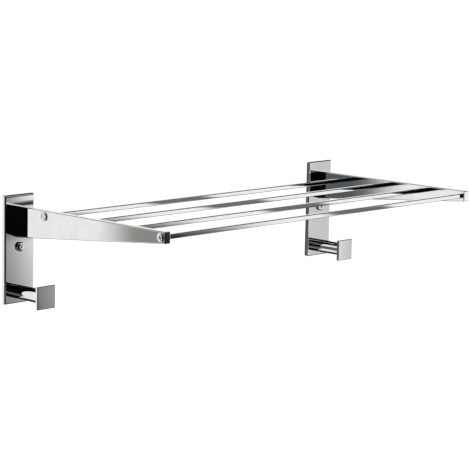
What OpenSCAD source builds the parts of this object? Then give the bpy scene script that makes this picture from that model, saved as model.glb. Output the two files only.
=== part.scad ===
// Wall-mounted towel shelf with robe hooks.
// Two wall plates carry two tapered arms, four square rails span the arms,
// and a round-stemmed hook stands out of the foot of each plate.
// +X runs along the wall to the right, +Z is up, and the wall is the plane Y = 0.
// The shelf stands out of the wall along -Y.
// The origin is the centre of the four wall holes.

/* [Overall] */
// Distance between the centrelines of the two arms
rack_w = 600; // [300:5:900]
// Reach of an arm from the face of its wall plate
arm_len = 280; // [200:1:400]

/* [Wall plates] */
// Width of a wall plate
plate_w = 50; // [40:1:80]
// Height of a wall plate
plate_h = 146; // [120:1:220]
// Thickness of a wall plate
plate_t = 6; // [4.5:0.5:12]

/* [Arms] */
// Thickness of an arm
arm_t = 10; // [8:0.5:16]
// Height of an arm where it meets its wall plate
arm_root_h = 42; // [30:1:60]
// Height of an arm at its free end
arm_end_h = 15; // [11:1:28]
// From the top of a wall plate down to the top of its arm
arm_drop = 15.5; // [8:0.5:30]

/* [Rails] */
// Side of a square rail
rail_side = 6.3; // [5.6:0.1:10]
// From the face of a wall plate to the centre of the rear rail
rail_first = 55; // [40:1:80]
// From the end of an arm back to the centre of the front rail
rail_inset = 7.5; // [7:0.5:20]
// How far a rail's end sits inside an arm
rail_seat = 3; // [1.5:0.5:5]

/* [Hooks] */
// Diameter of a hook's stem
stem_d = 19.5; // [14:0.5:28]
// Length of a hook's stem between the wall plate and the hook plate
stem_len = 51; // [30:1:80]
// Side of the square hook plate
hook_side = 31; // [24:1:45]
// Thickness of the hook plate
hook_t = 4; // [3:0.5:8]
// From the foot of a wall plate up to the centre of its hook
hook_rise = 15; // [12:0.5:18]
// Diameter of the spigot that is pressed into the hook plate
spigot_d = 8; // [6:0.5:12]
// Length of that spigot
spigot_len = 2; // [1:0.5:2]

/* [Mounting brackets] */
// Width of a mounting bracket
bracket_w = 30; // [20:1:36]
// Thickness of a mounting bracket
bracket_t = 2.9; // [2:0.1:3.2]
// From each end of a wall plate to the nearer end of its bracket
bracket_margin = 25; // [22:1:30]
// Diameter of a wall hole
wall_hole_d = 5; // [4:0.5:6]
// Diameter of a wall hole's countersink at the bracket's face
wall_sink_d = 8.4; // [7:0.1:8.8]
// From the end of a bracket to the centre of a wall hole
wall_hole_inset = 10; // [6:0.5:14]

/* [Plate screws] */
// Thread diameter of the domed screw that holds a plate to its bracket
plate_screw_d = 5; // [4:0.5:6]
// Diameter of its head
plate_head_d = 13; // [10:0.5:18]
// Height of its head
plate_head_h = 4; // [2.5:0.1:5]
// From the underside of an arm down to the plate screw
plate_screw_drop = 12.5; // [8:0.5:20]

/* [Rail screws] */
// Thread diameter of the screws that hold the rear and front rails
rail_screw_d = 4; // [3:0.5:4.5]
// Length of a rail screw under its head
rail_screw_len = 20; // [14:1:30]
// Diameter of its head
rail_head_d = 12.5; // [8:0.5:14]
// Height of its head
rail_head_h = 1.6; // [1.4:0.1:3]

/* [Arm screws] */
// Thread diameter of the countersunk screws behind an arm
arm_screw_d = 5; // [4:0.5:6]
// Length of an arm screw over all
arm_screw_len = 18; // [12:1:30]
// From the upper and lower edges of an arm to its screws
arm_screw_inset = 10.5; // [8:0.5:13]

/* [Hook screws] */
// Thread diameter of the countersunk screw behind a hook
hook_screw_d = 6; // [4:0.5:8]
// Length of a hook screw over all
hook_screw_len = 22; // [16:1:30]

/* [Clearances] */
// Between a bracket's face and the bottom of the plate's pocket
bracket_gap = 0.1; // [0.05:0.05:0.3]
// Between a bracket's edges and the pocket's walls
pocket_gap = 0.3; // [0.1:0.1:0.6]
// Between a screw and its threaded or drilled hole
thread_gap = 0.05; // [0.02:0.01:0.2]
// Between a rail and its socket in an arm
socket_gap = 0.1; // [0.05:0.05:0.3]
// Between a hook stem's spigot and its bore
press_gap = 0.02; // [0.01:0.01:0.05]

/* [Hidden] */

$fn = 96;
left = -1;
right = 1;

// Rails are numbered from the wall: 0 is the rear rail
last_rail = 3;
screwed_rails = [0, last_rail];
rail_pitch = (arm_len - rail_inset - rail_first) / last_rail;

plate_top = plate_h / 2;
plate_foot = -plate_h / 2;
arm_top = plate_top - arm_drop;
arm_underside = arm_top - arm_root_h;
rail_z = arm_top - arm_end_h / 2;
hook_z = plate_foot + hook_rise;
plate_screw_z = arm_underside - plate_screw_drop;
arm_screw_heights = [arm_underside + arm_screw_inset, arm_top - arm_screw_inset];

bracket_h = plate_h - 2 * bracket_margin;
pocket_depth = bracket_t + bracket_gap;
wall_hole_z = bracket_h / 2 - wall_hole_inset;
rail_len = rack_w - arm_t + 2 * rail_seat;

// Free depth that a threaded hole keeps beyond the end of its screw
tip_room = 2;
// Shares of a domed head's height that its straight rim and its key socket take
rim_share = 0.6;
socket_share = 0.65;
// Widths across corners of the key sockets
domed_key = 4.6;
sunk_key = 3.4;
sunk_key_depth = 1.6;
// How far a cut runs past the face that it opens
past = 1;

chrome = [0.82, 0.84, 0.86];
zinc = [0.62, 0.64, 0.66];

function rail_y(i) = -(plate_t + rail_first + i * rail_pitch);

// A box given by its lowest and highest corners
module block(low, high) {
    translate(low) cube(high - low);
}

// Turns a piece modelled along Z so that its top faces the wall
module top_to_wall() {
    rotate([-90, 0, 0]) children();
}

// Turns a piece modelled along Z so that its top faces the room
module top_to_room() {
    rotate([90, 0, 0]) children();
}

// Turns a piece modelled along Z so that its top faces out of the rack on the given side
module top_outward(side) {
    rotate([0, side * 90, 0]) children();
}

module on_side(side) {
    translate([side * rack_w / 2, 0, 0]) children();
}

// ---- Screws, each with the underside of its head or its flat top at Z = 0 ----

module key_socket(across, depth) {
    cylinder(h = depth + past, d = across, $fn = 6);
}

// Domed head on a straight shank that points down
module domed_screw(d, len, head_d, head_h) {
    rim_h = head_h * rim_share;
    cap_h = head_h - rim_h;
    cap_r = (pow(head_d / 2, 2) + pow(cap_h, 2)) / (2 * cap_h);
    key_depth = head_h * socket_share;
    difference() {
        union() {
            cylinder(h = rim_h, d = head_d);
            intersection() {
                translate([0, 0, head_h - cap_r]) sphere(r = cap_r);
                translate([0, 0, rim_h]) cylinder(h = cap_h, d = head_d);
            }
            translate([0, 0, -len]) cylinder(h = len + rim_h / 2, d = d);
        }
        translate([0, 0, head_h - key_depth]) key_socket(domed_key, key_depth);
    }
}

// Right-angled cone and shank of a countersunk screw, made larger all round by gap
module sunk_body(d, len, gap) {
    cone_h = d / 2;
    translate([0, 0, -cone_h]) cylinder(h = cone_h, r1 = d / 2 + gap, r2 = d + gap);
    translate([0, 0, -len]) cylinder(h = len, r = d / 2 + gap);
}

module sunk_screw(d, len) {
    difference() {
        sunk_body(d, len, 0);
        translate([0, 0, -sunk_key_depth]) key_socket(sunk_key, sunk_key_depth);
    }
}

// The hole that such a screw needs, open above
module sunk_hole(d, len) {
    sunk_body(d, len + tip_room, thread_gap);
    cylinder(h = past, r = d + thread_gap);
}

// ---- Places of the hidden screws, which their holes share ----

module at_arm_screws() {
    for (z = arm_screw_heights) {
        translate([0, -pocket_depth, z]) top_to_wall() children();
    }
}

module at_hook_screw() {
    translate([0, 0, hook_z]) top_to_wall() children();
}

// ---- Wall plates and mounting brackets ----

module wall_plate(side) {
    color(chrome) on_side(side) difference() {
        block([-plate_w / 2, -plate_t, plate_foot], [plate_w / 2, 0, plate_top]);
        block(
            [-bracket_w / 2 - pocket_gap, -pocket_depth, -bracket_h / 2 - pocket_gap],
            [bracket_w / 2 + pocket_gap, past, bracket_h / 2 + pocket_gap]
        );
        at_arm_screws() sunk_hole(arm_screw_d, arm_screw_len);
        at_hook_screw() sunk_hole(hook_screw_d, hook_screw_len);
        translate([0, past, plate_screw_z]) top_to_room()
            cylinder(h = plate_t + 2 * past, r = plate_screw_d / 2 + thread_gap);
    }
}

module wall_hole() {
    sink_h = (wall_sink_d - wall_hole_d) / 2;
    translate([0, past, 0]) top_to_room() cylinder(h = bracket_t + 2 * past, d = wall_hole_d);
    translate([0, -bracket_t + sink_h, 0]) top_to_room()
        cylinder(h = sink_h, d1 = wall_hole_d, d2 = wall_sink_d);
}

module mounting_bracket(side) {
    color(zinc) on_side(side) difference() {
        block([-bracket_w / 2, -bracket_t, -bracket_h / 2], [bracket_w / 2, 0, bracket_h / 2]);
        for (z = [-wall_hole_z, wall_hole_z]) {
            translate([0, 0, z]) wall_hole();
        }
        translate([0, past, plate_screw_z]) top_to_room()
            cylinder(h = bracket_t + 2 * past, r = plate_screw_d / 2 + thread_gap);
    }
}

module plate_screw(side) {
    color(chrome) on_side(side) translate([0, -plate_t, plate_screw_z]) top_to_room()
        domed_screw(plate_screw_d, plate_t - bracket_gap, plate_head_d, plate_head_h);
}

// ---- Arms ----

// Side outline of an arm as (reach, height) points, level on top and rising underneath
module arm_outline() {
    polygon([
        [0, arm_underside],
        [arm_len, arm_top - arm_end_h],
        [arm_len, arm_top],
        [0, arm_top]
    ]);
}

module rail_socket(side) {
    inner = side * arm_t / 2;
    reach = rail_seat + past;
    side_len = rail_side + 2 * socket_gap;
    translate([-inner + side * (rail_seat - reach / 2), 0, 0])
        cube([reach, side_len, side_len], center = true);
}

module arm(side) {
    color(chrome) on_side(side) difference() {
        translate([arm_t / 2, -plate_t, 0]) rotate([90, 0, -90])
            linear_extrude(height = arm_t) arm_outline();
        for (i = [0 : last_rail]) {
            translate([0, rail_y(i), rail_z]) rail_socket(side);
        }
        for (i = screwed_rails) {
            translate([0, rail_y(i), rail_z]) top_outward(side)
                cylinder(h = arm_t + 2 * past, r = rail_screw_d / 2 + thread_gap, center = true);
        }
        at_arm_screws() sunk_hole(arm_screw_d, arm_screw_len);
    }
}

module arm_screws(side) {
    color(zinc) on_side(side) at_arm_screws() sunk_screw(arm_screw_d, arm_screw_len);
}

// ---- Rails ----

// The rear and front rails are tapped at both ends for their screws
module rail(i) {
    tapped = len(search(i, screwed_rails)) > 0;
    bore = rail_screw_len - (arm_t - rail_seat) + tip_room;
    color(chrome) translate([0, rail_y(i), rail_z]) difference() {
        cube([rail_len, rail_side, rail_side], center = true);
        if (tapped) {
            for (side = [left, right]) {
                translate([side * (rail_len / 2 + past), 0, 0]) top_outward(-side)
                    cylinder(h = bore + past, r = rail_screw_d / 2 + thread_gap);
            }
        }
    }
}

module rail_screws(side) {
    for (i = screwed_rails) {
        color(chrome) on_side(side) translate([side * arm_t / 2, rail_y(i), rail_z])
            top_outward(side) domed_screw(rail_screw_d, rail_screw_len, rail_head_d, rail_head_h);
    }
}

// ---- Hooks ----

module hook_stem(side) {
    color(chrome) on_side(side) difference() {
        translate([0, -plate_t, hook_z]) top_to_room() {
            cylinder(h = stem_len, d = stem_d);
            cylinder(h = stem_len + spigot_len, d = spigot_d);
        }
        at_hook_screw() sunk_hole(hook_screw_d, hook_screw_len);
    }
}

module hook_plate(side) {
    back = -plate_t - stem_len;
    color(chrome) on_side(side) difference() {
        translate([0, back - hook_t / 2, hook_z]) cube([hook_side, hook_t, hook_side], center = true);
        translate([0, back + past, hook_z]) top_to_room()
            cylinder(h = spigot_len + press_gap + past, r = spigot_d / 2 + press_gap);
    }
}

module hook_screw(side) {
    color(zinc) on_side(side) at_hook_screw() sunk_screw(hook_screw_d, hook_screw_len);
}

wall_plate(left);  // left_wall_plate
wall_plate(right);  // right_wall_plate
mounting_bracket(left);  // left_mounting_bracket
mounting_bracket(right);  // right_mounting_bracket
arm(left);  // left_arm
arm(right);  // right_arm
rail(0);  // rear_rail
rail(1);  // rear_middle_rail
rail(2);  // front_middle_rail
rail(last_rail);  // front_rail
hook_stem(left);  // left_hook_stem
hook_stem(right);  // right_hook_stem
hook_plate(left);  // left_hook_plate
hook_plate(right);  // right_hook_plate
plate_screw(left);  // left_plate_screw
plate_screw(right);  // right_plate_screw
rail_screws(left);  // left_rail_screws
rail_screws(right);  // right_rail_screws
arm_screws(left);  // left_arm_screws
arm_screws(right);  // right_arm_screws
hook_screw(left);  // left_hook_screw
hook_screw(right);  // right_hook_screw
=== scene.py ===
"""Wall-mounted chrome towel shelf in a plain white studio.

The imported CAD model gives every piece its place. The polished pieces get finely rounded edges,
every piece gets a procedural finish, and a white room with dark zones gives the chrome
something to reflect. Lengths are in metres. The camera's and the room's angles are in degrees.
"""
import math

import bmesh
import bpy
from mathutils import Matrix, Vector


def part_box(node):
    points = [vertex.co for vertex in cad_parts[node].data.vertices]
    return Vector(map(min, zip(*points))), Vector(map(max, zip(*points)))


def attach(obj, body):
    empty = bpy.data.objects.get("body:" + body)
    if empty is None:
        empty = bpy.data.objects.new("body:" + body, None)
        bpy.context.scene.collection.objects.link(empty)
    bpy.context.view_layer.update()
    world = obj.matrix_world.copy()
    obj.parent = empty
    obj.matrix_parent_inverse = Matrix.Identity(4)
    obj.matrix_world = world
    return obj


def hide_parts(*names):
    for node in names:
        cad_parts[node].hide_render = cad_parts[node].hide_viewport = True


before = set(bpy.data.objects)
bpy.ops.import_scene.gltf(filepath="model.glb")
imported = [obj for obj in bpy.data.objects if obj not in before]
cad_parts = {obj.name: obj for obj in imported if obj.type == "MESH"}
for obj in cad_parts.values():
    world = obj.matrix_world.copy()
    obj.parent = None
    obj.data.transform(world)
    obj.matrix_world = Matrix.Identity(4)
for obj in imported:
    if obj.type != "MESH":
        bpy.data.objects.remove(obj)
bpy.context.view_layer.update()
MM = 0.001

# ---- Camera: a long lens from the left, a little above the shelf ----

CAM_TARGET = Vector((-6.5, -120.0, 3.2)) * MM
# Direction of the camera from its target: from -Y towards +X, and upwards
CAM_AZIMUTH = -46.36
CAM_ELEVATION = 9.08
# Turn about the line of sight
CAM_ROLL = 1.23
CAM_DISTANCE = 2.804
# Nothing farther off is drawn
CAM_REACH = 50.0
# Both in millimetres, as Blender takes them
SENSOR_WIDTH = 36.0
FOCAL_LENGTH = 154.4


def make_camera():
    azimuth, elevation = math.radians(CAM_AZIMUTH), math.radians(CAM_ELEVATION)
    level = math.cos(elevation)
    back = Vector((math.sin(azimuth) * level, -math.cos(azimuth) * level, math.sin(elevation)))
    right = Vector((0, 0, 1)).cross(back).normalized()
    up = back.cross(right)
    axes = Matrix((right, up, back)).transposed()
    turn = Matrix.Rotation(math.radians(CAM_ROLL), 3, "Z")
    data = bpy.data.cameras.new("camera")
    data.sensor_width = SENSOR_WIDTH
    data.lens = FOCAL_LENGTH
    data.clip_end = CAM_REACH
    camera = bpy.data.objects.new("camera", data)
    camera.matrix_world = Matrix.Translation(CAM_TARGET + back * CAM_DISTANCE) @ (axes @ turn).to_4x4()
    bpy.context.scene.collection.objects.link(camera)
    bpy.context.scene.camera = camera


# ---- Shader helpers ----

class Nodes:
    """Builds one node tree. What feeds a node is a number, a colour or another node's output."""

    def __init__(self, tree):
        self.tree = tree
        tree.nodes.clear()

    def add(self, kind, inputs=None, **props):
        node = self.tree.nodes.new(kind)
        for key, value in props.items():
            setattr(node, key, value)
        for key, value in (inputs or {}).items():
            self.feed(node.inputs[key], value)
        return node

    def feed(self, socket, value):
        if isinstance(value, bpy.types.NodeSocket):
            self.tree.links.new(value, socket)
        else:
            socket.default_value = value

    def math(self, operation, a, b=0.0):
        return self.add("ShaderNodeMath", {0: a, 1: b}, operation=operation).outputs[0]

    def ramp(self, value, low, high, to_low=0.0, to_high=1.0, shape="SMOOTHSTEP"):
        """Goes from to_low, where the value is low or less, to to_high, where it is high or more."""
        inputs = {"Value": value, "From Min": low, "From Max": high, "To Min": to_low, "To Max": to_high}
        return self.add("ShaderNodeMapRange", inputs, interpolation_type=shape).outputs[0]

    def mix(self, factor, a, b):
        node = self.add("ShaderNodeMix", data_type="RGBA")
        self.feed(node.inputs[0], factor)
        self.feed(node.inputs[6], a)
        self.feed(node.inputs[7], b)
        return node.outputs[2]

    def noise(self, place, scale, detail):
        inputs = {"Vector": place, "Scale": scale, "Detail": detail}
        return self.add("ShaderNodeTexNoise", inputs).outputs["Fac"]

    def drawn_out_noise(self, place, scales, detail):
        """Noise with a scale of its own along each axis."""
        stretched = self.add("ShaderNodeMapping", {"Vector": place, "Scale": scales}).outputs[0]
        return self.noise(stretched, 1.0, detail)


def new_material(name):
    material = bpy.data.materials.new(name)
    material.use_nodes = True
    return material, Nodes(material.node_tree)


# ---- Room, seen only in reflections ----

# Azimuths: 0 is +Y (the wall), 90 is +X, 180 is -Y (the room), -90 is -X.
# Each zone: lowest and highest azimuth, lowest and highest elevation, softness, linear colour.
# A later zone covers an earlier one.
BRIGHT = (0.90, 0.90, 0.90)
BLACK = (0.002, 0.002, 0.002)
ZONES = [
    # white walls all round, between a dark floor and a dark ceiling, and a little higher on the left
    (-181, 181, -46, 24, 5, BRIGHT),
    (-90, -10, 0, 32, 5, BRIGHT),
    # dark floor to the right, and a dark ceiling lower down over it
    (-12, 181, -60, -24, 6, (0.030, 0.026, 0.022)),
    (62, 181, 12, 58, 5, (0.015, 0.015, 0.016)),
    # the open, unlit side of the room, where the camera stands
    (-181, -59, -64, 58, 4, BLACK),
    (150, 181, -64, 58, 6, BLACK),
    # tall grey panel at the left-hand end of the shelf
    (-98, -83, -24, 26, 3, (0.24, 0.24, 0.25)),
    # low panel in the unlit side, under the camera, dim in its upper part
    (-152, -116, -38, -31, 2, (0.30, 0.30, 0.30)),
    (-152, -116, -31, -15.5, 2, (0.11, 0.11, 0.11)),
    # unlit corner beyond the right-hand end of the shelf
    (20, 66, -14, -4, 2, (0.05, 0.05, 0.05)),
    # gap in the white wall on the left, darker towards its far side
    (-50.0, -43.6, -30, 12, 1.3, (0.27, 0.27, 0.25)),
    (-49.6, -47.6, -30, 12, 1.0, (0.093, 0.098, 0.105)),
]
# Round light overhead and pale patch of floor below: two elevations, and the brightness at each
OVERHEAD = (58, 68, 0.02, 0.80)
BELOW = (-72, -60, 0.45, 0.0)
BACKDROP = (1.15, 1.15, 1.15, 1.0)


def inside_zone(nodes, azimuth, elevation, bounds, soft):
    """1 inside the zone and 0 outside it, with soft edges."""
    az_low, az_high, el_low, el_high = bounds
    inside = nodes.ramp(azimuth, az_low - soft, az_low)
    for edge in (
        nodes.ramp(azimuth, az_high, az_high + soft, 1.0, 0.0),
        nodes.ramp(elevation, el_low - soft, el_low),
        nodes.ramp(elevation, el_high, el_high + soft, 1.0, 0.0),
    ):
        inside = nodes.math("MULTIPLY", inside, edge)
    return inside


def make_world():
    """Reflections see the room, by direction only. All else sees a plain white backdrop."""
    world = bpy.data.worlds.new("studio")
    bpy.context.scene.world = world
    world.use_nodes = True
    nodes = Nodes(world.node_tree)
    direction = nodes.add("ShaderNodeTexCoord").outputs["Generated"]
    x, y, z = nodes.add("ShaderNodeSeparateXYZ", {0: direction}).outputs
    azimuth = nodes.math("DEGREES", nodes.math("ARCTAN2", x, y))
    elevation = nodes.math("DEGREES", nodes.math("ARCSINE", z))
    room = nodes.math("ADD", nodes.ramp(elevation, *OVERHEAD), nodes.ramp(elevation, *BELOW))
    for *bounds, soft, colour in ZONES:
        inside = inside_zone(nodes, azimuth, elevation, bounds, soft)
        room = nodes.mix(inside, room, (*colour, 1.0))
    reflected = nodes.add("ShaderNodeLightPath").outputs["Is Glossy Ray"]
    shown = nodes.mix(reflected, BACKDROP, room)
    background = nodes.add("ShaderNodeBackground", {"Color": shown, "Strength": 1.0})
    nodes.add("ShaderNodeOutputWorld", {"Surface": background.outputs[0]})


# ---- Reflector: a large glowing card in front of the rack, seen only in reflections, its light and shade painted into its glow ----

REFLECTOR_Y = -0.60
REFLECTOR_X = (-0.10, 1.70)
REFLECTOR_Z = (-0.55, 0.08)
# A slant is how far an edge of the shading leans towards -X per metre of height.
# The left end is painted unlit. Over SHADE_X the painted light rises to the right, in two stages that
# overlap.
SHADE_SLANT = 0.47
SHADE_X = (0.01, 0.25)
FIRST_STAGE = (0.0, 0.25)
SECOND_STAGE = (0.2, 1.0)
UNLIT = (0.035, 0.036, 0.028, 1)
HALF_LIT = (0.26, 0.263, 0.268, 1)
LIT = (0.97, 0.95, 0.94, 1)
# Greyer right end
FAR_X = (0.84, 0.96)
FAR_COLOUR = (0.62, 0.62, 0.62, 1)
# Painted shade: a darker patch at the upper left
PAINTED_SHADE_SLANT = 2.7
PAINTED_SHADE_X = (0.0, 0.13)
PAINTED_SHADE_Z = (-0.125, -0.095)
PAINTED_SHADE_STRENGTH = 0.6
PAINTED_SHADE_COLOUR = (0.02, 0.02, 0.016, 1)
# A dark band painted into the card's glow, standing for a dark stand in front of the card
PAINTED_STAND_SLANT = 0.8
PAINTED_STAND_X = (0.356, 0.502)
PAINTED_STAND_SOFT = 0.022
PAINTED_STAND_COLOUR = (0.15, 0.163, 0.183, 1)


def reflector_painted_light(nodes):
    """Painted light and shade of the glowing card from place to place, with a painted darker patch and a
    painted dark stand.
    """
    place = nodes.add("ShaderNodeTexCoord").outputs["Object"]
    x, _, z = nodes.add("ShaderNodeSeparateXYZ", {0: place}).outputs

    def leaning(slant):
        return nodes.math("ADD", x, nodes.math("MULTIPLY", z, slant))

    light = nodes.ramp(leaning(SHADE_SLANT), *SHADE_X, shape="LINEAR")
    colour = nodes.mix(nodes.ramp(light, *FIRST_STAGE), UNLIT, HALF_LIT)
    colour = nodes.mix(nodes.ramp(light, *SECOND_STAGE), colour, LIT)
    colour = nodes.mix(nodes.ramp(x, *FAR_X), colour, FAR_COLOUR)
    # Painted shade, darkening the card's glow at its upper left
    painted_shade = nodes.ramp(leaning(PAINTED_SHADE_SLANT), *PAINTED_SHADE_X, PAINTED_SHADE_STRENGTH, 0.0)
    painted_shade = nodes.math("MULTIPLY", painted_shade, nodes.ramp(z, *PAINTED_SHADE_Z))
    colour = nodes.mix(painted_shade, colour, PAINTED_SHADE_COLOUR)
    # Painted dark stand: a dark band in the card's glow, no object of its own
    across = leaning(PAINTED_STAND_SLANT)
    left, right = PAINTED_STAND_X
    painted_stand = nodes.math(
        "MULTIPLY",
        nodes.ramp(across, left - PAINTED_STAND_SOFT, left + PAINTED_STAND_SOFT),
        nodes.ramp(across, right - PAINTED_STAND_SOFT, right + PAINTED_STAND_SOFT, 1.0, 0.0),
    )
    return nodes.mix(painted_stand, colour, PAINTED_STAND_COLOUR)


def make_reflector():
    """The glowing card itself."""
    mesh = bpy.data.meshes.new("studio_reflector")
    bm = bmesh.new()
    corners = [(REFLECTOR_X[i], REFLECTOR_Y, REFLECTOR_Z[j]) for i, j in ((0, 0), (1, 0), (1, 1), (0, 1))]
    bm.faces.new([bm.verts.new(corner) for corner in corners])
    bm.to_mesh(mesh)
    bm.free()
    card = bpy.data.objects.new("studio_reflector", mesh)
    bpy.context.scene.collection.objects.link(card)
    card.visible_camera = False
    card.visible_shadow = False
    card.visible_diffuse = False
    material, nodes = new_material("studio_reflector")
    # The card glows, though it is no lamp: its colour is painted light and shade.
    glow = nodes.add("ShaderNodeEmission", {"Color": reflector_painted_light(nodes), "Strength": 1.0})
    nodes.add("ShaderNodeOutputMaterial", {"Surface": glow.outputs[0]})
    mesh.materials.append(material)


# ---- Floor and lamp ----

# The floor lies low, so that views from a little below the shelf stay clear of it
FLOOR_Z = -1.6
FLOOR_SIDE = 120.0
FLOOR_GRAIN_SCALE = 40.0
FLOOR_DARKER = (0.93, 0.93, 0.93, 1)
FLOOR_LIGHTER = (0.96, 0.96, 0.96, 1)
FLOOR_ROUGHNESS = 0.9
# Square lamp overhead, which shows in no reflection
LAMP_PLACE = (0.6, -0.4, 3.2)
LAMP_AIM = (0.6, 0.6, FLOOR_Z)
LAMP_SIDE = 3.0
LAMP_WATTS = 260.0


def make_floor():
    mesh = bpy.data.meshes.new("studio_floor")
    floor = bpy.data.objects.new("studio_floor", mesh)
    bm = bmesh.new()
    bmesh.ops.create_grid(bm, x_segments=1, y_segments=1, size=0.5)
    bm.to_mesh(mesh)
    bm.free()
    floor.scale = (FLOOR_SIDE, FLOOR_SIDE, 1.0)
    floor.location = (0.0, 0.0, FLOOR_Z)
    bpy.context.scene.collection.objects.link(floor)
    material, nodes = new_material("studio_floor")
    grain = nodes.noise(nodes.add("ShaderNodeTexCoord").outputs["Object"], FLOOR_GRAIN_SCALE, detail=4.0)
    colour = nodes.mix(grain, FLOOR_DARKER, FLOOR_LIGHTER)
    shader = nodes.add("ShaderNodeBsdfPrincipled", {"Base Color": colour, "Roughness": FLOOR_ROUGHNESS})
    nodes.add("ShaderNodeOutputMaterial", {"Surface": shader.outputs[0]})
    mesh.materials.append(material)
    floor.visible_glossy = False


def make_lamp():
    data = bpy.data.lights.new("top_light", "AREA")
    data.shape = "SQUARE"
    data.size = LAMP_SIDE
    data.energy = LAMP_WATTS
    lamp = bpy.data.objects.new("top_light", data)
    lamp.location = LAMP_PLACE
    lamp.rotation_euler = (Vector(LAMP_AIM) - Vector(LAMP_PLACE)).to_track_quat("-Z", "Y").to_euler()
    lamp.visible_glossy = False
    lamp.visible_camera = False
    bpy.context.scene.collection.objects.link(lamp)


# ---- Finishes ----

# A noise scale is about how many blotches there are to a metre.
# A span is the stretch of the noise's values over which it changes the surface.
# Chrome: the haze makes it a little darker and rougher, and the buffing marks rougher
HAZE_SCALE = 55.0
HAZE_TINT_SPAN = (0.35, 0.7)
HAZE_TINT = 0.955
HAZE_ROUGH_SPAN = (0.3, 0.75)
HAZE_ROUGHER = 2.2
MARK_SCALES = (260.0, 9000.0, 900.0)
MARK_SPAN = (0.62, 0.78)
MARK_ROUGHNESS = 0.02
UNEVEN_SCALE = 18.0
UNEVEN_DEPTH = 0.000004
CHROME_TINT = (0.90, 0.91, 0.92)
CHROME_ROUGHNESS = 0.018
SCREW_TINT = (0.88, 0.89, 0.90)
SCREW_ROUGHNESS = 0.03
# Zinc: a patchy cast from bluish to yellowish, and a grain that shows in colour, roughness and relief
CAST_SCALE = 70.0
CAST_SPAN = (0.35, 0.65)
ZINC_BLUISH = (0.60, 0.61, 0.62, 1)
ZINC_YELLOWISH = (0.66, 0.64, 0.58, 1)
GRAIN_TINT_SPAN = (0.3, 0.8)
GRAIN_TINT_SHARE = 0.35
GRAIN_COLOUR = (0.45, 0.46, 0.48, 1)
GRAIN_ROUGH_SPAN = (0.2, 0.8)
GRAIN_ROUGHNESS = (0.28, 0.46)
GRAIN_RELIEF = 0.6
GRAIN_DEPTH = 0.00004
ROLLED_SCALES = (300.0, 300.0, 4000.0)
TUMBLED_SCALES = (1500.0, 1500.0, 1500.0)


def add_metal(nodes, colour, roughness, height, depth, relief):
    """Ends the tree with a metal shader, its surface raised by height."""
    bump = nodes.add("ShaderNodeBump", {"Strength": relief, "Distance": depth, "Height": height})
    shader = nodes.add("ShaderNodeBsdfPrincipled", {
        "Base Color": colour, "Metallic": 1.0, "Roughness": roughness, "Normal": bump.outputs[0],
    })
    nodes.add("ShaderNodeOutputMaterial", {"Surface": shader.outputs[0]})


def chrome_finish(name, tint, roughness):
    """Mirror chrome with faint buffing marks, a little haze and a barely uneven surface."""
    material, nodes = new_material(name)
    place = nodes.add("ShaderNodeTexCoord").outputs["Object"]
    haze = nodes.noise(place, HAZE_SCALE, detail=5.0)
    marks = nodes.ramp(nodes.drawn_out_noise(place, MARK_SCALES, detail=3.0), *MARK_SPAN)
    uneven = nodes.noise(place, UNEVEN_SCALE, detail=2.0)
    clear, hazy = (*tint, 1.0), (*(channel * HAZE_TINT for channel in tint), 1.0)
    colour = nodes.mix(nodes.ramp(haze, *HAZE_TINT_SPAN), clear, hazy)
    rough = nodes.ramp(haze, *HAZE_ROUGH_SPAN, roughness, roughness * HAZE_ROUGHER)
    rough = nodes.math("ADD", rough, nodes.math("MULTIPLY", marks, MARK_ROUGHNESS))
    add_metal(nodes, colour, rough, uneven, UNEVEN_DEPTH, relief=1.0)
    return material


def zinc_finish(name, grain_scales):
    """Bright zinc plating with a soft grain and a faint cast."""
    material, nodes = new_material(name)
    place = nodes.add("ShaderNodeTexCoord").outputs["Object"]
    grain = nodes.drawn_out_noise(place, grain_scales, detail=5.0)
    cast = nodes.noise(place, CAST_SCALE, detail=3.0)
    colour = nodes.mix(nodes.ramp(cast, *CAST_SPAN), ZINC_BLUISH, ZINC_YELLOWISH)
    colour = nodes.mix(nodes.ramp(grain, *GRAIN_TINT_SPAN, 0.0, GRAIN_TINT_SHARE), colour, GRAIN_COLOUR)
    rough = nodes.ramp(grain, *GRAIN_ROUGH_SPAN, *GRAIN_ROUGHNESS)
    add_metal(nodes, colour, rough, grain, GRAIN_DEPTH, relief=GRAIN_RELIEF)
    return material


def dress(piece, material):
    piece.data.materials.clear()
    piece.data.materials.append(material)


# ---- Pieces with rounded edges ----

FLAT_ANGLE = math.radians(1.0)
SHARP_ANGLE = math.radians(30.0)
SEAT_SLACK = 0.02 * MM
MERGE_DISTANCE = 1e-6
ROUND_STEPS = 4
# The modifier's largest value: the normals follow the large flat faces
FACE_WEIGHT = 100
# Radius of the edges of each kind of piece. Edges no longer than the second value stay sharp.
RAIL_ROUND = 1.2 * MM
RAIL_SHORTEST = 50 * MM
PLATE_ROUND = 1.8 * MM
PLATE_SHORTEST = 5 * MM
ARM_ROUND = 1.2 * MM
ARM_SHORTEST = 9.5 * MM
HOOK_PLATE_ROUND = 1.1 * MM
HOOK_PLATE_SHORTEST = 2.5 * MM


def smooth_piece(bm, name):
    """Object made from the bmesh, with smooth faces between sharp edges."""
    for face in bm.faces:
        face.smooth = True
    mesh = bpy.data.meshes.new(name)
    bm.to_mesh(mesh)
    bm.free()
    mesh.set_sharp_from_angle(angle=SHARP_ANGLE)
    piece = bpy.data.objects.new(name, mesh)
    bpy.context.scene.collection.objects.link(piece)
    return piece


def back_y(node):
    """Y of the node's face towards the wall, where it sits on what is behind it."""
    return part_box(node)[1][1]


def on_seat(edge, seat_y):
    return seat_y is not None and all(abs(v.co.y - seat_y) < SEAT_SLACK for v in edge.verts)


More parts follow.
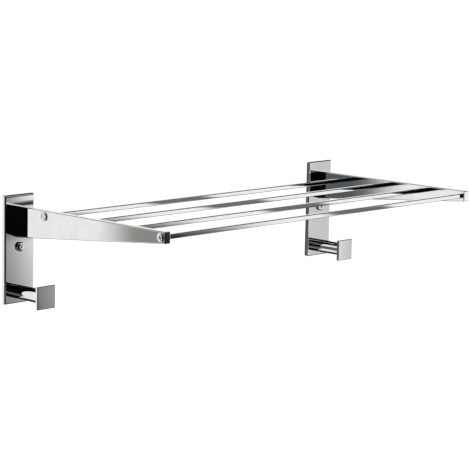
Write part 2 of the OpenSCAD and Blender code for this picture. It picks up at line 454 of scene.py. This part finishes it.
def rounded_copy(node, radius, shortest, seat_y=None):
    """The CAD node's own shape, which stands for the node. Its long sharp edges off the seat are rounded."""
    bm = bmesh.new()
    bm.from_mesh(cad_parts[node].data)
    bmesh.ops.remove_doubles(bm, verts=bm.verts, dist=MERGE_DISTANCE)
    bmesh.ops.dissolve_limit(bm, angle_limit=FLAT_ANGLE, verts=bm.verts, edges=bm.edges)
    edges = [
        edge for edge in bm.edges
        if edge.is_manifold and edge.calc_length() > shortest and edge.calc_face_angle() > SHARP_ANGLE
        and not on_seat(edge, seat_y)
    ]
    bmesh.ops.bevel(
        bm, geom=edges, offset=radius, offset_type="OFFSET", segments=ROUND_STEPS, profile=0.5,
        affect="EDGES", clamp_overlap=False, harden_normals=False,
    )
    bmesh.ops.remove_doubles(bm, verts=bm.verts, dist=MERGE_DISTANCE)
    piece = smooth_piece(bm, node + "_polished")
    flatten = piece.modifiers.new("flat_faces", "WEIGHTED_NORMAL")
    flatten.keep_sharp = True
    flatten.weight = FACE_WEIGHT
    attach(piece, "root")
    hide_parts(node)
    return piece


# ---- Turned screws ----

# Steps round a screw, and over the dome of its head
TURN_STEPS = 96
HEX_STEPS = TURN_STEPS // 6
DOME_STEPS = 24
# The dome ends where its radius falls below this multiple of the key socket's
KEY_MARGIN = 1.12
KEY_DEPTH_SHARE = 0.3
# Shank radius, heights of the head and of its straight rim, key socket's radius at its corners,
# and crown, where 2 makes the dome an ellipse and more makes it flatter on top
PLATE_SCREW = {
    "shank_r": 2.5 * MM, "head_h": 4.0 * MM, "rim_h": 1.2 * MM, "key_r": 2.3 * MM, "crown": 4.2,
}
RAIL_SCREW = {
    "shank_r": 2.0 * MM, "head_h": 1.6 * MM, "rim_h": 0.3 * MM, "key_r": 2.3 * MM, "crown": 2.2,
}


def hex_radius(step, corner_radius):
    """Radius at a step round the axis of a hexagon whose corners are at corner_radius."""
    half = math.pi / 6
    along = (step % HEX_STEPS) / HEX_STEPS * math.pi / 3 - half
    return corner_radius * math.cos(half) / math.cos(along)


def add_turned(bm, centre, out, rings):
    """A closed turned solid about the axis out. Rings are (radius, height, hexagonal)."""
    side = out.orthogonal().normalized()
    other = out.cross(side)
    loops = []
    for radius, height, hexagonal in rings:
        loop = []
        for step in range(TURN_STEPS):
            angle = 2 * math.pi * step / TURN_STEPS
            r = hex_radius(step, radius) if hexagonal else radius
            place = side * (r * math.cos(angle)) + other * (r * math.sin(angle)) + out * height
            loop.append(bm.verts.new(centre + place))
        loops.append(loop)
    for low, high in zip(loops, loops[1:]):
        for step in range(TURN_STEPS):
            after = (step + 1) % TURN_STEPS
            bm.faces.new((low[step], low[after], high[after], high[step]))
    bm.faces.new(list(reversed(loops[0])))
    bm.faces.new(loops[-1])


def screw_rings(shank_r, shank_len, head_r, head_h, rim_h, key_r, crown):
    """Shank, short straight rim, domed crown and hexagonal key socket."""
    rings = [(shank_r, -shank_len, False), (shank_r, 0.0, False), (head_r, 0.0, False)]
    for i in range(DOME_STEPS + 1):
        angle = math.pi / 2 * (1 - i / DOME_STEPS)
        radius = head_r * math.sin(angle) ** (2 / crown)
        if radius < key_r * KEY_MARGIN:
            break
        rings.append((radius, rim_h + (head_h - rim_h) * math.cos(angle) ** (2 / crown), False))
    rings.append((key_r, head_h, True))
    rings.append((key_r, head_h * (1 - KEY_DEPTH_SHARE), True))
    return rings


def domed_screws(node, out, places, **sizes):
    """Finely turned screws for the CAD node's own, at places on the face that their heads bear on."""
    bm = bmesh.new()
    for place in places:
        add_turned(bm, place, out, screw_rings(**sizes))
    bmesh.ops.recalc_face_normals(bm, faces=bm.faces)
    piece = smooth_piece(bm, node + "_turned")
    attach(piece, "root")
    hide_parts(node)
    return piece


def plate_screw(side):
    node = side + "_plate_screw"
    low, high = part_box(node)
    face_y = low[1] + PLATE_SCREW["head_h"]
    place = Vector(((low[0] + high[0]) / 2, face_y, (low[2] + high[2]) / 2))
    return domed_screws(
        node, Vector((0, -1, 0)), [place],
        shank_len=high[1] - face_y, head_r=(high[0] - low[0]) / 2, **PLATE_SCREW,
    )


def rail_screws(side):
    node = side + "_rail_screws"
    low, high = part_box(node)
    head_r = (high[2] - low[2]) / 2
    outward = -1 if side == "left" else 1
    tip_x, far_x = (high[0], low[0]) if side == "left" else (low[0], high[0])
    face_x = far_x - outward * RAIL_SCREW["head_h"]
    z = (low[2] + high[2]) / 2
    places = [Vector((face_x, low[1] + head_r, z)), Vector((face_x, high[1] - head_r, z))]
    return domed_screws(
        node, Vector((outward, 0, 0)), places,
        shank_len=abs(face_x - tip_x), head_r=head_r, **RAIL_SCREW,
    )


# ---- The whole ----

make_camera()
make_world()
make_reflector()
make_floor()
make_lamp()

chrome = chrome_finish("polished_chrome", CHROME_TINT, CHROME_ROUGHNESS)
screw_chrome = chrome_finish("chrome_screw", SCREW_TINT, SCREW_ROUGHNESS)
zinc_sheet = zinc_finish("zinc_plated_steel", ROLLED_SCALES)
zinc_screw = zinc_finish("zinc_plated_screw", TUMBLED_SCALES)

for name in ("rear_rail", "rear_middle_rail", "front_middle_rail", "front_rail"):
    dress(rounded_copy(name, RAIL_ROUND, RAIL_SHORTEST), chrome)
for side in ("left", "right"):
    for kind, radius, shortest in (
        ("_wall_plate", PLATE_ROUND, PLATE_SHORTEST),
        ("_arm", ARM_ROUND, ARM_SHORTEST),
        ("_hook_plate", HOOK_PLATE_ROUND, HOOK_PLATE_SHORTEST),
    ):
        dress(rounded_copy(side + kind, radius, shortest, seat_y=back_y(side + kind)), chrome)
    dress(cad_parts[side + "_hook_stem"], chrome)
    dress(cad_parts[side + "_mounting_bracket"], zinc_sheet)
    dress(plate_screw(side), screw_chrome)
    dress(rail_screws(side), screw_chrome)
    for kind in ("_arm_screws", "_hook_screw"):
        dress(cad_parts[side + kind], zinc_screw)

bpy.context.scene.view_settings.view_transform = "Standard"
